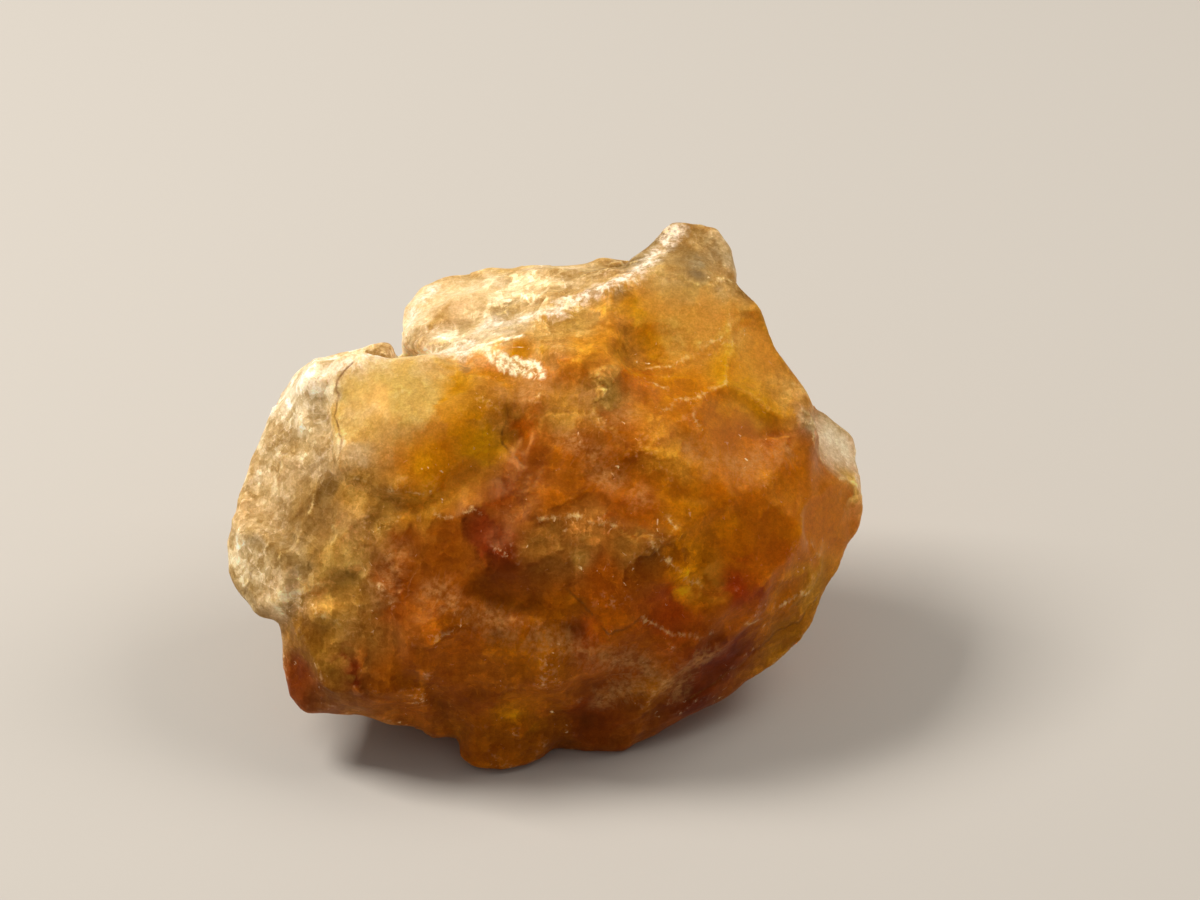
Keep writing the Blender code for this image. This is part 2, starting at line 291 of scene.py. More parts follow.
ZONE_SHIFTS = (0.9, 0.8)  # mm by which a large and a small break shift the zones
ZONE_GRAIN = (0.8, 0.5)  # mm: how wide the ragged edge of a zone wavers, and how far

# Lines that can be followed by eye over the stone, as pixels of the view, or in mm where a pixel would look
# past the rim. Edges stand up and are bruised pale, flashes are broken steps that stand up under a painted
# highlight of bright cream, frost is a whitish crumbly band, veils are pale healed cracks, seams are thin and
# dark.
LINES = {
    "edges": {
        "crest": [(405, 348), (450, 345), (480, 322), (545, 290), (642, 264)],
        "under the smooth break": [(650, 372), (700, 355), (735, 322)],
        "right facet": [(735, 322), (725, 380), (700, 395), (660, 412)],
        "inner edge of the horn": [(797, 402), (812, 440), (835, 478), (853, 482)],
        "low ridge": [(640, 615), (673, 640), (715, 628), (745, 630), (770, 610), (808, 590)],
        "milky ledge": [(530, 525), (570, 518), (640, 530), (665, 560), (700, 590)],
        "foot of the window": [(330, 468), (370, 480), (405, 493), (440, 492)],
        "streak on the flank": [(312, 490), (300, 525), (278, 560)],
        "under the lobe": [(270, 600), (300, 612), (335, 622), (350, 640)],
        "foot of the peak": [(655, 268), (700, 288), (733, 286)],
        "front edge": [(400, 519), (430, 515), (460, 518), (482, 514)],
        "short crack": [(650, 381), (664, 385)],
        "upright crack": [(696, 408), (697, 430)],
        "crack by the cavity": [(572, 376), (583, 386)],
        "crack on the right": [(665, 520), (678, 530)],
        "crack on the slope": [(590, 300), (602, 312)],
        "rim of the fan": [(466, 338), (495, 331), (526, 324)],
        "upper facet": [(680, 362), (692, 350), (705, 338)],
        "under the right slope": [(725, 345), (732, 331), (738, 318)],
        "notch in the facet": [(651, 403), (660, 412), (667, 402)],
        "around the tip": [(797, 495), (800, 530), (822, 560)],
    },
    # Ribs that stand up. Their bright cream is a painted highlight.
    "flashes": {
        "first rib over the cavity": [(472, 351), (485, 356), (497, 362)],
        "second rib": [(496, 354), (507, 358), (518, 360)],
        "third rib": [(499, 363), (512, 372), (525, 377)],
        "fourth rib": [(511, 362), (518, 369), (522, 376)],
        "fifth rib": [(521, 366), (533, 364), (541, 369)],
        "sixth rib": [(533, 367), (530, 371), (527, 377)],
        "last rib": [(539, 368), (545, 373), (542, 380)],
        "ray of the fan": [(468, 348), (495, 342), (522, 338)],
        "under the crest": [(561, 303), (566, 312)],
    },
    "frost": {
        "over the window": [(338, 366), (360, 358), (-8.4, 1.6, 19.4), (-6.6, 1.6, 19.6), (460, 352)],
        "over the crest": [(466, 342), (488, 324), (545, 314), (605, 288), (638, 276)],
        "up the peak": [(640, 270), (654, 256), (664, 242), (674, 234)],
        "top of the flank": [(312, 388), (326, 376), (338, 368)],
        "left of the block": [(412, 325), (418, 305), (432, 292)],
    },
    "veils": {
        "upper middle": [(500, 395), (560, 390), (625, 412)],
        "middle": [(560, 430), (600, 470), (640, 500)],
        "right": [(690, 450), (740, 470), (790, 445)],
        "lower front": [(430, 590), (500, 630), (560, 640)],
        "lower break": [(545, 630), (580, 650), (640, 665), (680, 690)],
        "flank": [(340, 520), (395, 565), (380, 600)],
        "bottom": [(600, 700), (660, 680), (715, 655)],
    },
    "seams": {
        "around the window": [(352, 362), (336, 385), (332, 420), (338, 455)],
        "edge of the cavity": [(505, 400), (500, 440), (520, 470)],
        "deep middle": [(570, 590), (610, 635), (640, 615)],
        "lower right": [(690, 700), (760, 655), (815, 602)],
    },
}
# How far each kind of line stands up, or is sunk, and how far its sides reach, in mm.
LINE_RELIEF = {"edges": (0.06, 0.40), "flashes": (0.06, 0.30), "seams": (-0.08, 0.25)}
LINE_SLOPE = 1.6  # how hollow the sides of a line's relief are
LINE_STEP = 0.25  # mm between the points of a line
LINE_WANDER = (1.2, 1.6)  # mm: how wide a line's bends are, and how far they swing

# How each kind of line looks: its reach in mm where it is thin and where its hairs spread, how strong it is,
# its colour, how far it lets light through, and where it starts to show (higher is more broken up).
LINE_LOOKS = {
    "frost": (0.50, 1.20, 1.25, "F6E4CC", 0.05, 0.32),
    "veils": (0.80, 1.70, 0.70, "CC9454", 0.22, 0.36),
    "edges": (0.05, 0.34, 0.80, "F2D490", 0.1, 0.46),
    # The flashes' bright cream is a painted highlight over the ribs.
    "flashes": (0.22, 0.42, 1.60, "FFEEC8", 0.0, 0.20),
    "seams": (0.10, 0.15, 0.85, "7A4A14", 0.4, 0.34),
}

# How wide the patterns in the stone are, in mm. Real grain is finer: this is as fine as the render can show.
CLOUDS = 2.4
PATCHES = 2.2
CRUMBS = 0.30
GRAIN = 0.11

# The view: degrees above the ground, mm away, the lens and its sensor in mm, the middle of the view in mm,
# and how many pixels it is wide and high.
VIEW_HEIGHT = 35
VIEW_AWAY = 250
VIEW_LENS = 132.0
VIEW_SENSOR = 36.0
VIEW_MIDDLE = (3.0, 0.84, 13.49)
VIEW_FRAME = (1200, 900)

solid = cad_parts["danburite_crystal"].data
solid_faces = BVHTree.FromPolygons([v.co for v in solid.vertices], [p.vertices for p in solid.polygons])


def view():
    """Where the camera stands, in metres, and how it is turned."""
    tilt = math.radians(VIEW_HEIGHT)
    back = Vector((0, -math.cos(tilt), math.sin(tilt)))
    return Vector(VIEW_MIDDLE) * MM + VIEW_AWAY * MM * back, (-back).to_track_quat("-Z", "Y")


def on_stone(spot):
    """The place in mm, to a tenth, where the view's pixel lies on the stone. A place in mm stays as it is."""
    if len(spot) == 3:
        return spot
    eye, turn = view()
    focus = VIEW_LENS / VIEW_SENSOR * VIEW_FRAME[0]
    ray = Vector(((spot[0] - VIEW_FRAME[0] / 2) / focus, (VIEW_FRAME[1] / 2 - spot[1]) / focus, -1))
    hit = solid_faces.ray_cast(eye, turn @ ray.normalized())[0]
    return tuple(round(c / MM, 1) for c in hit)


def linear(code, alpha=1.0):
    """An sRGB hex colour as the linear colour that shaders use."""
    parts = [int(code[i : i + 2], 16) / 255 for i in (0, 2, 4)]
    return [p / 12.92 if p <= 0.04045 else ((p + 0.055) / 1.055) ** 2.4 for p in parts] + [alpha]


def add(tree, kind, inputs=None, **settings):
    """Adds a node with its settings, and sets or links its inputs."""
    node = tree.nodes.new(kind)
    for name, value in settings.items():
        setattr(node, name, value)
    for key, value in (inputs or {}).items():
        if isinstance(value, bpy.types.NodeSocket):
            tree.links.new(value, node.inputs[key])
        else:
            node.inputs[key].default_value = value
    return node


# ---------------------------------------------------------------- the skin's relief


def break_nodes(tree, spot, roundness):
    """Conchoidal breaks at a spot measured in cells: tilted bowls that meet in sharp rims.

    Gives the height of the skin, how far the nearest rim is, a tone, and a chance vector that is the same all
    over one break. The tone is the break's own random tone plus painted shading that runs across it with its
    tilt."""
    waver = add(
        tree, "ShaderNodeTexNoise", {"Vector": spot, "Scale": BREAK_WAVER[0], "Detail": 3.0}
    ).outputs["Color"]
    waver = add(tree, "ShaderNodeVectorMath", {0: waver, 1: (0.5, 0.5, 0.5)}, operation="SUBTRACT").outputs[0]
    spot = add(
        tree, "ShaderNodeVectorMath", {0: waver, 1: [BREAK_WAVER[1]] * 3, 2: spot}, operation="MULTIPLY_ADD"
    ).outputs[0]
    heights, tones, chances = [], [], []
    for nearest in ("F1", "F2"):
        cell = add(tree, "ShaderNodeTexVoronoi", {"Vector": spot, "Scale": 1.0}, feature=nearest).outputs
        away = add(
            tree, "ShaderNodeVectorMath", {0: spot, 1: cell["Position"]}, operation="SUBTRACT"
        ).outputs[0]
        tilt = add(
            tree, "ShaderNodeVectorMath", {0: cell["Color"], 1: (0.5, 0.5, 0.5)}, operation="SUBTRACT"
        ).outputs[0]
        rise = add(tree, "ShaderNodeVectorMath", {0: away, 1: tilt}, operation="DOT_PRODUCT").outputs["Value"]
        square = add(tree, "ShaderNodeMath", {0: cell["Distance"], 1: 2.0}, operation="POWER").outputs[0]
        bowl = add(tree, "ShaderNodeMath", {0: square, 1: roundness}, operation="MULTIPLY").outputs[0]
        heights.append(
            add(
                tree, "ShaderNodeMath", {0: rise, 1: BREAK_SLANT, 2: bowl}, operation="MULTIPLY_ADD"
            ).outputs[0]
        )
        chances.append(cell["Color"])
        own = add(tree, "ShaderNodeSeparateXYZ", {0: cell["Color"]}).outputs[0]
        # The break's own tone, plus painted shading that runs across it with its tilt.
        tones.append(
            add(
                tree, "ShaderNodeMath", {0: rise, 1: BREAK_PAINTED_SHADE_RUN, 2: own}, operation="MULTIPLY_ADD"
            ).outputs[0]
        )
    height = add(tree, "ShaderNodeMath", {0: heights[0], 1: heights[1]}, operation="MINIMUM").outputs[0]
    second = add(tree, "ShaderNodeMath", {0: heights[1], 1: heights[0]}, operation="LESS_THAN").outputs[0]
    tone = add(
        tree, "ShaderNodeMix", {"Factor": second, 2: tones[0], 3: tones[1]}, data_type="FLOAT"
    ).outputs[0]
    chance = add(
        tree, "ShaderNodeMix", {"Factor": second, 6: chances[0], 7: chances[1]}, data_type="RGBA"
    ).outputs[2]
    gap = add(tree, "ShaderNodeMath", {0: heights[0], 1: heights[1]}, operation="SUBTRACT").outputs[0]
    gap = add(tree, "ShaderNodeMath", {0: gap}, operation="ABSOLUTE").outputs[0]
    return height, gap, tone, chance


def break_tree():
    """One size of breaks in the skin, as a group of nodes with its sizes in mm."""
    tree = bpy.data.node_groups.new("conchoidal breaks", "GeometryNodeTree")
    face = tree.interface
    for name, default in (("Width", 2.0), ("Depth", 0.2), ("Roundness", 1.4), ("Seed", 0.0)):
        face.new_socket(name, in_out="INPUT", socket_type="NodeSocketFloat").default_value = default
    for name in ("Height", "Tone"):
        face.new_socket(name, in_out="OUTPUT", socket_type="NodeSocketFloat")
    face.new_socket("Chance", in_out="OUTPUT", socket_type="NodeSocketVector")
    sizes = add(tree, "NodeGroupInput").outputs
    place = add(tree, "GeometryNodeInputPosition").outputs[0]
    per_metre = add(tree, "ShaderNodeMath", {0: 1 / MM, 1: sizes["Width"]}, operation="DIVIDE").outputs[0]
    spot = add(tree, "ShaderNodeVectorMath", {0: place, "Scale": per_metre}, operation="SCALE").outputs[0]
    shift = add(tree, "ShaderNodeCombineXYZ", {0: sizes["Seed"], 1: sizes["Seed"]}).outputs[0]
    spot = add(tree, "ShaderNodeVectorMath", {0: spot, 1: shift}, operation="ADD").outputs[0]
    height, _, tone, chance = break_nodes(tree, spot, sizes["Roundness"])
    level = add(tree, "ShaderNodeMath", {0: height, 1: BREAK_LEVEL}, operation="SUBTRACT").outputs[0]
    height = add(tree, "ShaderNodeMath", {0: level, 1: sizes["Depth"]}, operation="MULTIPLY").outputs[0]
    add(tree, "NodeGroupOutput", {"Height": height, "Tone": tone, "Chance": chance})
    return tree


def blend_zones(tree, place, chances):
    """Blends the zones by how near they are. Gives the colour and (see-through share, roughness, 1).

    Each break looks at the zones from a slightly other spot, so their borders follow the breaks."""
    grain = add(
        tree, "ShaderNodeTexNoise", {"Vector": place, "Scale": 1 / (ZONE_GRAIN[0] * MM), "Detail": 4.0}
    ).outputs["Color"]
    spot = place
    for chance, reach in ((grain, ZONE_GRAIN[1]), *zip(chances, ZONE_SHIFTS)):
        chance = add(
            tree, "ShaderNodeVectorMath", {0: chance, 1: (0.5, 0.5, 0.5)}, operation="SUBTRACT"
        ).outputs[0]
        spot = add(
            tree, "ShaderNodeVectorMath", {0: chance, 1: [reach * MM] * 3, 2: spot}, operation="MULTIPLY_ADD"
        ).outputs[0]
    colors, finishes = (0.0, 0.0, 0.0), (0.0, 0.0, 0.0)
    for middle, reach, tone, finish in ZONES.values():
        see_through, roughness = FINISHES[finish]
        middle = [MM * c for c in on_stone(middle)]
        away = add(tree, "ShaderNodeVectorMath", {0: spot, 1: middle}, operation="DISTANCE")
        away = add(
            tree,
            "ShaderNodeMath",
            {0: away.outputs["Value"], 1: 1 / (MM * reach), 2: ZONE_CORE},
            operation="MULTIPLY_ADD",
        )
        near = add(
            tree, "ShaderNodeMath", {0: away.outputs[0], 1: -ZONE_SHARPNESS}, operation="POWER"
        ).outputs[0]
        colors = add(
            tree,
            "ShaderNodeVectorMath",
            {0: linear(TONES[tone])[:3], 1: near, 2: colors},
            operation="MULTIPLY_ADD",
        ).outputs[0]
        finishes = add(
            tree,
            "ShaderNodeVectorMath",
            {0: (see_through, roughness, 1.0), 1: near, 2: finishes},
            operation="MULTIPLY_ADD",
        ).outputs[0]
    shares = add(tree, "ShaderNodeSeparateXYZ", {0: finishes}).outputs["Z"]
    colors = add(tree, "ShaderNodeVectorMath", {0: colors, 1: shares}, operation="DIVIDE").outputs[0]
    finishes = add(tree, "ShaderNodeVectorMath", {0: finishes, 1: shares}, operation="DIVIDE").outputs[0]
    return colors, finishes


def lines_object(name, lines):
    """A helper that carries the lines as loose edges. It is removed once the skin is made."""
    shape = bmesh.new()
    for points in lines.values():
        corners = [shape.verts.new([MM * c for c in on_stone(point)]) for point in points]
        for start, end in zip(corners, corners[1:]):
            shape.edges.new((start, end))
    mesh = bpy.data.meshes.new(name)
    shape.to_mesh(mesh)
    shape.free()
    thing = bpy.data.objects.new(name, mesh)
    bpy.context.scene.collection.objects.link(thing)
    return thing


def way_from_lines(tree, skin, helper):
    """The way from the helper's lines, once they wander over the skin, to each of its points, in mm."""
    lines = add(tree, "GeometryNodeObjectInfo", {"Object": helper}).outputs["Geometry"]
    lines = add(tree, "GeometryNodeMeshToCurve", {0: lines}).outputs[0]
    lines = add(
        tree, "GeometryNodeResampleCurve", {"Curve": lines, "Length": LINE_STEP * MM}, mode="LENGTH"
    ).outputs[0]
    lines = add(tree, "GeometryNodeCurveToMesh", {0: lines}).outputs[0]
    place = add(tree, "GeometryNodeInputPosition").outputs[0]
    wander = add(
        tree, "ShaderNodeTexNoise", {"Vector": place, "Scale": 1 / (LINE_WANDER[0] * MM), "Detail": 3.0}
    ).outputs["Color"]
    wander = add(
        tree, "ShaderNodeVectorMath", {0: wander, 1: (0.5, 0.5, 0.5)}, operation="SUBTRACT"
    ).outputs[0]
    wander = add(
        tree, "ShaderNodeVectorMath", {0: wander, "Scale": LINE_WANDER[1] * MM}, operation="SCALE"
    ).outputs[0]
    lines = add(tree, "GeometryNodeSetPosition", {"Geometry": lines, "Offset": wander}).outputs[0]
    onto = add(tree, "GeometryNodeProximity", {0: skin}, target_element="FACES").outputs["Position"]
    lines = add(tree, "GeometryNodeSetPosition", {"Geometry": lines, "Position": onto}).outputs[0]
    foot = add(tree, "GeometryNodeProximity", {0: lines}, target_element="EDGES").outputs["Position"]
    way = add(tree, "ShaderNodeVectorMath", {0: place, 1: foot}, operation="SUBTRACT").outputs[0]
    return add(tree, "ShaderNodeVectorMath", {0: way, "Scale": 1 / MM}, operation="SCALE").outputs[0]


def relief_tree(material, helpers):
    """Moves the skin in and out along its slopes, and keeps zones, rims and ridges for the material."""
    tree = bpy.data.node_groups.new("broken skin", "GeometryNodeTree")
    face = tree.interface
    face.new_socket("Geometry", in_out="INPUT", socket_type="NodeSocketGeometry")
    for name, (width, depth, roundness) in BREAKS.items():
        for what, default in (("width", width), ("depth", depth), ("roundness", roundness)):
            size = face.new_socket(f"{name} {what}", in_out="INPUT", socket_type="NodeSocketFloat")
            size.default_value = default
    face.new_socket("Seed", in_out="INPUT", socket_type="NodeSocketFloat").default_value = SEED
    face.new_socket("Geometry", in_out="OUTPUT", socket_type="NodeSocketGeometry")
    given = add(tree, "NodeGroupInput").outputs
    place = add(tree, "GeometryNodeInputPosition").outputs[0]
    slope = add(tree, "GeometryNodeInputNormal").outputs[0]
    group = break_tree()
    breaks = {}
    for name in BREAKS:
        sizes = {key: given[f"{name} {key.lower()}"] for key in ("Width", "Depth", "Roundness")}
        breaks[name] = add(
            tree, "GeometryNodeGroup", {**sizes, "Seed": given["Seed"]}, node_tree=group
        ).outputs
    colors, finishes = blend_zones(tree, place, [found["Chance"] for found in breaks.values()])

    # The clear breaks are smoother than the frosted ones.
    share = add(tree, "ShaderNodeSeparateXYZ", {0: finishes}).outputs["X"]
    unrest = add(tree, "ShaderNodeMapRange", {"Value": share, 1: 0.06, 2: 0.42, 3: 1.0, 4: 0.38}).outputs[0]
    calm = None
    for middle, reach, least in CALM.values():
        away = add(
            tree, "ShaderNodeVectorMath", {0: place, 1: [MM * c for c in middle]}, operation="DISTANCE"
        )
        left = add(
            tree,
            "ShaderNodeMapRange",
            {
                "Value": away.outputs["Value"],
                1: MM * reach * CALM_BORDER[0],
                2: MM * reach * CALM_BORDER[1],
                3: least,
                4: 1.0,
            },
            interpolation_type="SMOOTHSTEP",
        ).outputs[0]
        calm = left if calm is None else add(
            tree, "ShaderNodeMath", {0: calm, 1: left}, operation="MINIMUM"
        ).outputs[0]
    up = add(tree, "ShaderNodeSeparateXYZ", {0: place}).outputs["Z"]
    flat = add(
        tree, "ShaderNodeMapRange", {"Value": up, 1: FLAT_FOOT[0] * MM, 2: FLAT_FOOT[1] * MM, 3: 0.0, 4: 1.0}
    ).outputs[0]
    unrest = add(tree, "ShaderNodeMath", {0: unrest, 1: calm}, operation="MULTIPLY").outputs[0]
    kept = add(tree, "ShaderNodeMath", {0: unrest, 1: flat}, operation="MULTIPLY").outputs[0]

    total = 0.0
    shape = given["Geometry"]
    for name, found in breaks.items():
        total = add(tree, "ShaderNodeMath", {0: found["Height"], 1: total}, operation="ADD").outputs[0]
        kept_tone = {"Geometry": shape, "Name": name.replace("breaks", "tones"), "Value": found["Tone"]}
        shape = add(tree, "GeometryNodeStoreNamedAttribute", kept_tone, data_type="FLOAT").outputs[0]
    total = add(tree, "ShaderNodeMath", {0: total, 1: kept}, operation="MULTIPLY").outputs[0]
    for kind, helper in helpers.items():
        way = way_from_lines(tree, given["Geometry"], helper)
        kept_way = {"Geometry": shape, "Name": f"from {kind}", "Value": way}
        shape = add(tree, "GeometryNodeStoreNamedAttribute", kept_way, data_type="FLOAT_VECTOR").outputs[0]
        if kind not in LINE_RELIEF:
            continue
        rise, reach = LINE_RELIEF[kind]
        away = add(tree, "ShaderNodeVectorMath", {0: way}, operation="LENGTH").outputs["Value"]
        near = add(tree, "ShaderNodeMapRange", {"Value": away, 1: 0.0, 2: reach, 3: 1.0, 4: 0.0}).outputs[0]
        near = add(tree, "ShaderNodeMath", {0: near, 1: LINE_SLOPE}, operation="POWER").outputs[0]
        total = add(tree, "ShaderNodeMath", {0: near, 1: rise, 2: total}, operation="MULTIPLY_ADD").outputs[0]
    total = add(tree, "ShaderNodeMath", {0: total, 1: MM}, operation="MULTIPLY").outputs[0]
    move = add(tree, "ShaderNodeVectorMath", {0: slope, "Scale": total}, operation="SCALE").outputs[0]
    shape = add(tree, "GeometryNodeSetPosition", {"Geometry": shape, "Offset": move}).outputs[0]

    # How far each point stands out from the skin around it, in mm: ridges are above 0, hollows below.
    around = add(tree, "GeometryNodeBlurAttribute", {"Iterations": RIDGE_SPREAD}, data_type="FLOAT_VECTOR")
    tree.links.new(place, next(s for s in around.inputs if s.name == "Value" and s.enabled))
    around = next(s for s in around.outputs if s.enabled)
    out = add(tree, "ShaderNodeVectorMath", {0: place, 1: around}, operation="SUBTRACT").outputs[0]
    out = add(tree, "ShaderNodeVectorMath", {0: out, 1: slope}, operation="DOT_PRODUCT").outputs["Value"]
    out = add(tree, "ShaderNodeMath", {0: out, 1: 1 / MM}, operation="MULTIPLY").outputs[0]

    for name, value, kind in (
        ("ridges", out, "FLOAT"),
        ("zone colour", colors, "FLOAT_VECTOR"),
        ("zone finish", finishes, "FLOAT_VECTOR"),
        ("unrest", unrest, "FLOAT"),
    ):
        kept_value = {"Geometry": shape, "Name": name, "Value": value}
        shape = add(tree, "GeometryNodeStoreNamedAttribute", kept_value, data_type=kind).outputs[0]
    shape = add(tree, "GeometryNodeRealizeInstances", {0: shape}).outputs[0]
    shape = add(tree, "GeometryNodeSetMaterial", {"Geometry": shape, "Material": material}).outputs[0]
    add(tree, "NodeGroupOutput", {0: shape})
    return tree


def plain_mesh(thing):
    """Turns the object's modifiers into its mesh."""
    graph = bpy.context.evaluated_depsgraph_get()
    mesh = bpy.data.meshes.new_from_object(thing.evaluated_get(graph))
    thing.modifiers.clear()
    thing.data = mesh


def fit_to_box(mesh, low, high):
    """Draws the mesh in or out by a hair, so that it fills the solid's own box."""
    points = [vertex.co for vertex in mesh.vertices]
    for axis in range(3):
        own_low = min(p[axis] for p in points)
        own_high = max(p[axis] for p in points)
        scale = (high[axis] - low[axis]) / (own_high - own_low)
        for p in points:
            p[axis] = low[axis] + (p[axis] - own_low) * scale


def break_faces(mesh):
    """Breaks the flat faces out of the skin, each along the mean slope of the skin around its middle."""
    points = numpy.empty(3 * len(mesh.vertices))
    slopes = numpy.empty(3 * len(mesh.vertices))
    mesh.vertices.foreach_get("co", points)
    mesh.vertices.foreach_get("normal", slopes)
    points, slopes = points.reshape(-1, 3), slopes.reshape(-1, 3)
    for middle, reach, depth in FACES.values():
        away = numpy.linalg.norm(points - MM * numpy.array(middle), axis=1)
        near = away < MM * reach
        slope = slopes[near].mean(axis=0)
        slope /= numpy.linalg.norm(slope)
        level = points[near].mean(axis=0) @ slope - MM * depth
        above = numpy.maximum(points @ slope - level, 0.0)
        share = numpy.clip((1.5 * MM * reach - away) / (0.5 * MM * reach), 0.0, 1.0)
        points -= numpy.outer(above * share, slope)
    mesh.vertices.foreach_set("co", points.ravel())
    mesh.update()


def make_stone(material):
    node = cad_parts["danburite_crystal"]
    skin = bpy.data.objects.new("danburite_stone", node.data.copy())
    bpy.context.scene.collection.objects.link(skin)
    shape = bmesh.new()
    shape.from_mesh(skin.data)
    bmesh.ops.remove_doubles(shape, verts=shape.verts, dist=0.001 * MM)
    shape.to_mesh(skin.data)
    shape.free()

    remesh = skin.modifiers.new("fine skin", "REMESH")
    remesh.mode = "VOXEL"
    remesh.voxel_size = MM * SKIN_GRAIN
    soften = skin.modifiers.new("even out the thinned facets", "SMOOTH")
    soften.iterations = SKIN_SOFTENING
    plain_mesh(skin)
    break_faces(skin.data)
    helpers = {kind: lines_object(kind, lines) for kind, lines in LINES.items()}
    breaks = skin.modifiers.new("broken skin", "NODES")
    breaks.node_group = relief_tree(material, helpers)
    plain_mesh(skin)
    for helper in helpers.values():
        bpy.data.objects.remove(helper, do_unlink=True)
    fit_to_box(skin.data, cad_low, cad_high)
    skin.data.polygons.foreach_set("use_smooth", [True] * len(skin.data.polygons))
    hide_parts("danburite_crystal")
    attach(skin, "root")
    return skin


# ---------------------------------------------------------------- the stone's material


def danburite_material():
    """Danburite, broken by hand and never polished.

    Its breaks are clear to cloudy over an amber inside, so it glows. Its rims and outer skin are frosted
    and pale."""
    material = bpy.data.materials.new("broken amber danburite")
    material.use_nodes = True
    tree = material.node_tree
    surface = tree.nodes["Principled BSDF"]
    place = add(tree, "ShaderNodeTexCoord").outputs["Object"]

    color = add(tree, "ShaderNodeAttribute", attribute_name="zone colour").outputs["Vector"]
    finish = add(tree, "ShaderNodeAttribute", attribute_name="zone finish").outputs["Vector"]
    finish = add(tree, "ShaderNodeSeparateXYZ", {0: finish}).outputs
    clear, rough = finish["X"], finish["Y"]

    unrest = add(tree, "ShaderNodeAttribute", attribute_name="unrest").outputs["Fac"]

    def paler(color, share, gains):
        """The colour mixed with a paler one of its own hue, never paler than cream."""
        pale = add(tree, "ShaderNodeVectorMath", {0: color, 1: gains}, operation="MULTIPLY").outputs[0]
        pale = add(
            tree, "ShaderNodeVectorMath", {0: pale, 1: linear("FFF0D6")[:3]}, operation="MINIMUM"
        ).outputs[0]
        return add(tree, "ShaderNodeMix", {"Factor": share, 6: color, 7: pale}, data_type="RGBA").outputs[2]

    def tinted(color, tone, spread):
        """The colour, paler or deeper by up to the spread as the tone goes from 0 to 1."""
        tone = add(tree, "ShaderNodeMapRange", {"Value": tone, 3: -1.0, 4: 1.0}).outputs[0]
        tone = add(tree, "ShaderNodeMath", {0: tone, 1: spread}, operation="MULTIPLY").outputs[0]
        tone = add(
            tree,
            "ShaderNodeVectorMath",
            {0: tone, 1: (1.0, 1.25, 1.8), 2: (1.0, 1.0, 1.0)},
            operation="MULTIPLY_ADD",
        ).outputs[0]
        return add(tree, "ShaderNodeVectorMath", {0: color, 1: tone}, operation="MULTIPLY").outputs[0]

    # Each break cuts the cloudy inside at another depth, so its tone is a little different. Its tone also
    # runs across it with its tilt, as painted shading.
    contrast = add(tree, "ShaderNodeMapRange", {"Value": unrest, 1: 0.1, 2: 1.0, 3: 0.03, 4: 0.25}).outputs[0]
    for name in ("large tones", "small tones"):
        color = tinted(color, add(tree, "ShaderNodeAttribute", attribute_name=name).outputs["Fac"], contrast)

    # Clouds inside, 1 to 3 mm wide: clear places look deep and orange, milky ones pale.
    clouds = add(
        tree,
        "ShaderNodeTexNoise",
        {"Vector": place, "Scale": 1 / (CLOUDS * MM), "Detail": 5.0, "Roughness": 0.6},
    ).outputs["Fac"]
    deep = add(tree, "ShaderNodeMapRange", {"Value": clouds, 1: 0.34, 2: 0.52, 3: 0.15, 4: 0.0}).outputs[0]
    color = add(
        tree,
        "ShaderNodeMix",
        {"Factor": deep, 6: color, 7: linear("D89040")},
        data_type="RGBA",
        blend_type="MULTIPLY",
    ).outputs[2]
    milky = add(tree, "ShaderNodeMapRange", {"Value": clouds, 1: 0.52, 2: 0.72, 3: 0.0, 4: 0.30}).outputs[0]
    color = paler(color, milky, (1.5, 1.9, 3.5))
    clear = add(tree, "ShaderNodeMix", {"Factor": milky, 2: clear, 3: 0.2}, data_type="FLOAT").outputs[0]

    # Chips and splinters: crisp little breaks, each with its own tone and painted shading across it with its
    # tilt, and a few frosted rims.
    patches = add(
        tree, "ShaderNodeTexNoise", {"Vector": place, "Scale": 1 / (PATCHES * MM), "Detail": 3.0}
    ).outputs["Fac"]
    patches = add(tree, "ShaderNodeMapRange", {"Value": patches, 1: 0.50, 2: 0.66}).outputs[0]
    contrast = add(tree, "ShaderNodeMapRange", {"Value": unrest, 1: 0.1, 2: 1.0, 3: 0.04, 4: 0.18}).outputs[0]
    relief = None
    for name, (width, depth, roundness) in CHIPS.items():
        spot = add(
            tree, "ShaderNodeVectorMath", {0: place, "Scale": 1 / (width * MM)}, operation="SCALE"
        ).outputs[0]
        height, gap, tone, _ = break_nodes(tree, spot, roundness)
        color = tinted(color, tone, contrast)
        rim = add(tree, "ShaderNodeMapRange", {"Value": gap, 1: 0.0, 2: 0.14, 3: 0.40, 4: 0.0}).outputs[0]
        rim = add(tree, "ShaderNodeMath", {0: rim, 1: patches}, operation="MULTIPLY").outputs[0]
        rim = add(tree, "ShaderNodeMath", {0: rim, 1: unrest}, operation="MULTIPLY").outputs[0]
        color = paler(color, rim, (1.7, 2.0, 3.5))
        relief = add(
            tree,
            "ShaderNodeMath",
            {0: height, 1: depth, 2: 0.0 if relief is None else relief},
            operation="MULTIPLY_ADD",
        ).outputs[0]

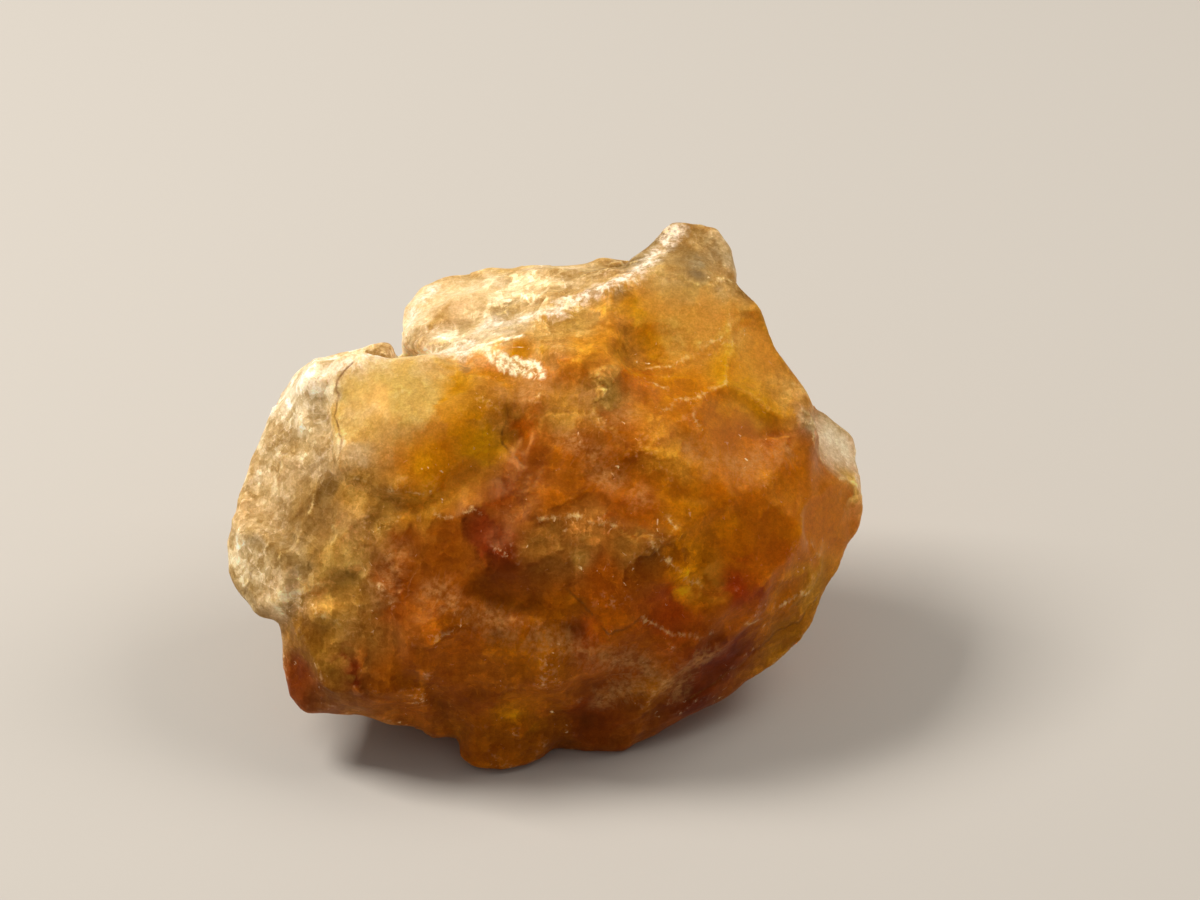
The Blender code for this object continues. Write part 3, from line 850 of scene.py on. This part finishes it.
    # The lines over the stone: thin, crumbly, broken up along their way, with fine hairs to both sides.
    crumbs = add(
        tree,
        "ShaderNodeTexNoise",
        {"Vector": place, "Scale": 1 / (CRUMBS * MM), "Detail": 3.0, "Roughness": 0.6},
    ).outputs["Fac"]
    crumbs_here = add(tree, "ShaderNodeMapRange", {"Value": crumbs, 1: 0.50, 2: 0.62}).outputs[0]
    crumbly = add(tree, "ShaderNodeMapRange", {"Value": crumbs, 1: 0.40, 2: 0.58, 3: 0.25, 4: 1.0}).outputs[0]
    for kind, (thin, hairs, share, code, haze, least) in LINE_LOOKS.items():
        way = add(tree, "ShaderNodeAttribute", attribute_name=f"from {kind}").outputs["Vector"]
        away = add(tree, "ShaderNodeVectorMath", {0: way}, operation="LENGTH").outputs["Value"]
        foot = add(tree, "ShaderNodeVectorMath", {0: place, "Scale": 1 / MM}, operation="SCALE").outputs[0]
        foot = add(tree, "ShaderNodeVectorMath", {0: foot, 1: way}, operation="SUBTRACT").outputs[0]
        hair = add(tree, "ShaderNodeTexNoise", {"Vector": foot, "Scale": 6.5, "Detail": 3.0}).outputs["Fac"]
        hair = add(
            tree, "ShaderNodeMapRange", {"Value": hair, 1: 0.42, 2: 0.68, 3: thin, 4: hairs}
        ).outputs[0]
        near = add(tree, "ShaderNodeMath", {0: away, 1: hair}, operation="DIVIDE").outputs[0]
        near = add(tree, "ShaderNodeMapRange", {"Value": near, 1: 0.0, 2: 1.0, 3: share, 4: 0.0}).outputs[0]
        gaps = add(
            tree, "ShaderNodeTexNoise", {"Vector": foot, "Scale": 0.9, "Detail": 4.0, "Roughness": 0.65}
        )
        gaps = add(
            tree, "ShaderNodeMapRange", {"Value": gaps.outputs["Fac"], 1: least, 2: least + 0.14}
        ).outputs[0]
        near = add(tree, "ShaderNodeMath", {0: near, 1: gaps}, operation="MULTIPLY").outputs[0]
        near = add(tree, "ShaderNodeMath", {0: near, 1: crumbly}, operation="MULTIPLY").outputs[0]
        color = add(
            tree, "ShaderNodeMix", {"Factor": near, 6: color, 7: linear(code)}, data_type="RGBA"
        ).outputs[2]
        clear = add(tree, "ShaderNodeMix", {"Factor": near, 2: clear, 3: haze}, data_type="FLOAT").outputs[0]

    # Edges where breaks meet and stand out: pale bruised frost, and a painted highlight, as the paleness
    # grows with how far the skin stands out.
    ridge = add(tree, "ShaderNodeAttribute", attribute_name="ridges").outputs["Fac"]
    ridge = add(tree, "ShaderNodeMapRange", {"Value": ridge, 1: 0.015, 2: 0.05, 3: 0.0, 4: 0.8}).outputs[0]
    ridge = add(tree, "ShaderNodeMath", {0: ridge, 1: patches}, operation="MULTIPLY").outputs[0]
    ridge = add(tree, "ShaderNodeMath", {0: ridge, 1: crumbs_here}, operation="MULTIPLY").outputs[0]
    ridge = add(tree, "ShaderNodeMath", {0: ridge, 1: unrest}, operation="MULTIPLY").outputs[0]
    color = add(
        tree, "ShaderNodeMix", {"Factor": ridge, 6: color, 7: linear("F0D29C")}, data_type="RGBA"
    ).outputs[2]
    clear = add(tree, "ShaderNodeMix", {"Factor": ridge, 2: clear, 3: 0.0}, data_type="FLOAT").outputs[0]

    # Fine hackles over the breaks, fine grain, and painted glints: pale specks on the brightest chips that
    # stand in for grains catching the light.
    color = tinted(color, add(tree, "ShaderNodeMapRange", {"Value": crumbs, 1: 0.3, 2: 0.7}).outputs[0], 0.10)
    relief = add(tree, "ShaderNodeMath", {0: crumbs, 1: 0.03, 2: relief}, operation="MULTIPLY_ADD").outputs[0]
    grain = add(
        tree, "ShaderNodeTexNoise", {"Vector": place, "Scale": 1 / (GRAIN * MM), "Detail": 1.0}
    ).outputs["Fac"]
    color = tinted(color, add(tree, "ShaderNodeMapRange", {"Value": grain, 1: 0.3, 2: 0.7}).outputs[0], 0.10)
    # Painted highlight: pale cream specks on the brightest chips.
    painted_glint = add(tree, "ShaderNodeMapRange", {"Value": tone, 1: 1.12, 2: 1.20, 3: 0.0, 4: 0.9}).outputs[0]
    painted_glint = add(tree, "ShaderNodeMath", {0: painted_glint, 1: patches}, operation="MULTIPLY").outputs[0]
    color = add(
        tree, "ShaderNodeMix", {"Factor": painted_glint, 6: color, 7: linear("FFE6B4")}, data_type="RGBA"
    ).outputs[2]
    clear = add(tree, "ShaderNodeMix", {"Factor": painted_glint, 2: clear, 3: 0.0}, data_type="FLOAT").outputs[0]
    relief = add(tree, "ShaderNodeMath", {0: relief, 1: unrest}, operation="MULTIPLY").outputs[0]
    bump = add(tree, "ShaderNodeBump", {"Strength": 1.0, "Distance": MM, "Height": relief}).outputs[0]

    glow = add(
        tree, "ShaderNodeMapRange", {"Value": clear, 1: 0.06, 2: 0.42, 3: 0.4 * MM, 4: 1.8 * MM}
    ).outputs[0]
    for name, value in {
        "Base Color": color,
        "Roughness": rough,
        "Subsurface Scale": glow,
        "Transmission Weight": clear,
        "Normal": bump,
    }.items():
        tree.links.new(value, surface.inputs[name])
    surface.inputs["IOR"].default_value = 1.633
    surface.inputs["Specular IOR Level"].default_value = 0.06
    surface.inputs["Specular Tint"].default_value = linear("FFB45A")
    surface.inputs["Subsurface Weight"].default_value = 1.0
    surface.inputs["Subsurface Radius"].default_value = (1.0, 0.8, 0.6)
    absorb = add(tree, "ShaderNodeVolumeAbsorption", {"Color": (0.985, 0.76, 0.03, 1.0), "Density": 150.0})
    tree.links.new(absorb.outputs[0], tree.nodes["Material Output"].inputs["Volume"])
    return material


# ---------------------------------------------------------------- the studio


def make_studio():
    scene = bpy.context.scene
    shape = bmesh.new()
    bmesh.ops.create_grid(shape, x_segments=1, y_segments=1, size=1.5)
    mesh = bpy.data.meshes.new("floor")
    shape.to_mesh(mesh)
    shape.free()
    floor = bpy.data.objects.new("floor", mesh)
    scene.collection.objects.link(floor)
    paper = bpy.data.materials.new("pale matt paper")
    paper.use_nodes = True
    paper.node_tree.nodes["Principled BSDF"].inputs["Base Color"].default_value = linear("BCBAB7")
    paper.node_tree.nodes["Principled BSDF"].inputs["Roughness"].default_value = 0.9
    mesh.materials.append(paper)
    floor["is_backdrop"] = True

    world = bpy.data.worlds.new("soft surround")
    scene.world = world
    world.use_nodes = True
    world.node_tree.nodes["Background"].inputs["Color"].default_value = linear("ECE6DC")
    world.node_tree.nodes["Background"].inputs["Strength"].default_value = 0.36

    def soft_box(name, place, size, watts, code):
        light = bpy.data.lights.new(name, "AREA")
        light.shape = "RECTANGLE"
        light.size, light.size_y = size
        light.energy = watts
        light.color = linear(code)[:3]
        lamp = bpy.data.objects.new(name, light)
        lamp.location = place
        aim = Vector((0, 0, 0.012)) - Vector(place)
        lamp.rotation_euler = aim.to_track_quat("-Z", "Y").to_euler()
        scene.collection.objects.link(lamp)

    soft_box("key", (-0.19, 0.06, 0.27), (0.12, 0.12), 1.10, "FFF6EA")
    soft_box("fill", (0.20, 0.06, 0.27), (0.18, 0.18), 0.50, "FFF4E6")

    camera = bpy.data.objects.new("camera", bpy.data.cameras.new("camera"))
    scene.collection.objects.link(camera)
    scene.camera = camera
    camera.data.sensor_width = VIEW_SENSOR
    camera.data.lens = VIEW_LENS
    camera.data.clip_start = 0.01
    camera.location, turn = view()
    camera.rotation_euler = turn.to_euler()
    scene.view_settings.view_transform = "Standard"


material = danburite_material()
make_stone(material)
make_studio()
